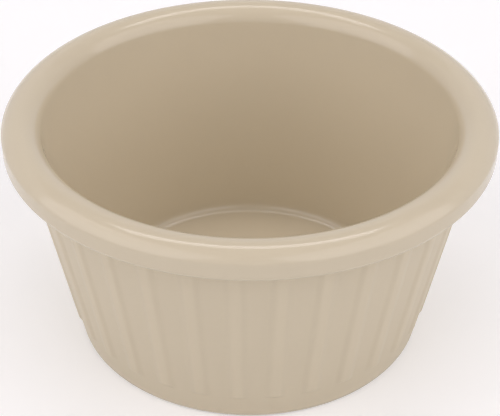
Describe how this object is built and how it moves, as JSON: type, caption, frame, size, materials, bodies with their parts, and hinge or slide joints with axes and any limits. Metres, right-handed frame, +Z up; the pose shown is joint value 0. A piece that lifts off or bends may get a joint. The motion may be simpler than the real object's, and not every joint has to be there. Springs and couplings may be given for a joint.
{
  "type": "ramekin",
  "caption": "Fluted moulded ramekin with a rolled rim, a leaning ribbed wall, a flat floor and a low foot ring.",
  "frame": {"origin": "centre of the foot ring's face, on the table", "axes": "+Z up along the cup's axis, front towards -Y"},
  "size_m": [0.089, 0.089, 0.045],
  "materials": {
    "melamine": "satin"
  },
  "bodies": {
    "root": {"ramekin": "melamine"}
  },
  "joints": []
}
